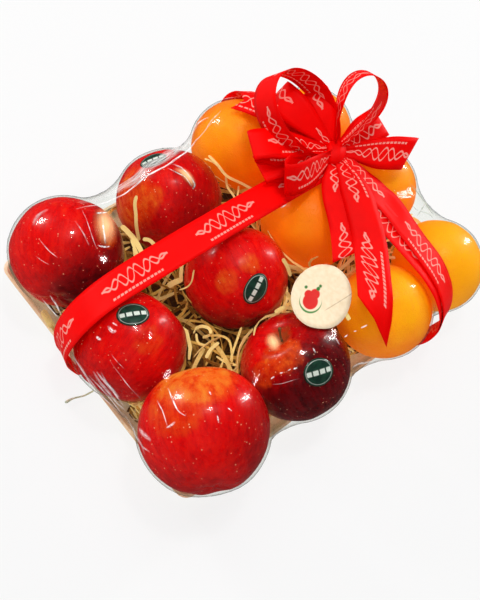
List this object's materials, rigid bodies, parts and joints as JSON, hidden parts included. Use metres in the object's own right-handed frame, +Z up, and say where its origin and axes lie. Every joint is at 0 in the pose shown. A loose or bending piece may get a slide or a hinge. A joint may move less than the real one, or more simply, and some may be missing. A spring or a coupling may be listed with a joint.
{
  "type": "fruit gift tray",
  "caption": "Fruit gift tray: apples and oranges on wood straw in a card tray, wrapped in clear film and tied with red ribbon and a bow",
  "frame": {"origin": "middle of the tray's underside, on the floor plane", "axes": "+X along the tray towards the orange end, +Y across to the far edge, +Z up"},
  "size_m": [0.3314, 0.2525, 0.1469],
  "materials": {
    "card": "matte pressed card, cream",
    "straw": "dry shredded wood, pale yellow",
    "apple_skin": "waxy deep red skin with pale specks",
    "orange_peel": "fine pored orange peel",
    "clear_film": "clear shrink film",
    "red_ribbon": "smooth satin",
    "cream_label": "coated paper",
    "green_sticker": "printed gloss paper",
    "green_leaf": "waxy leaf"
  },
  "bodies": {
    "root": {"tray": "card", "straw_bed": "straw", "apple_1": "apple_skin", "apple_2": "apple_skin", "apple_3": "apple_skin", "apple_4": "apple_skin", "apple_5": "apple_skin", "apple_6": "apple_skin", "orange_1": "orange_peel", "orange_2": "orange_peel", "orange_3": "orange_peel", "orange_4": "orange_peel", "orange_5": "orange_peel", "orange_6": "orange_peel", "film": "clear_film", "band_along": "red_ribbon", "band_across": "red_ribbon", "bow": "red_ribbon", "label": "cream_label", "sticker_1": "green_sticker", "sticker_2": "green_sticker", "sticker_3": "green_sticker", "sticker_4": "green_sticker", "leaf": "green_leaf", "loose_stalk": "straw"}
  },
  "joints": []
}
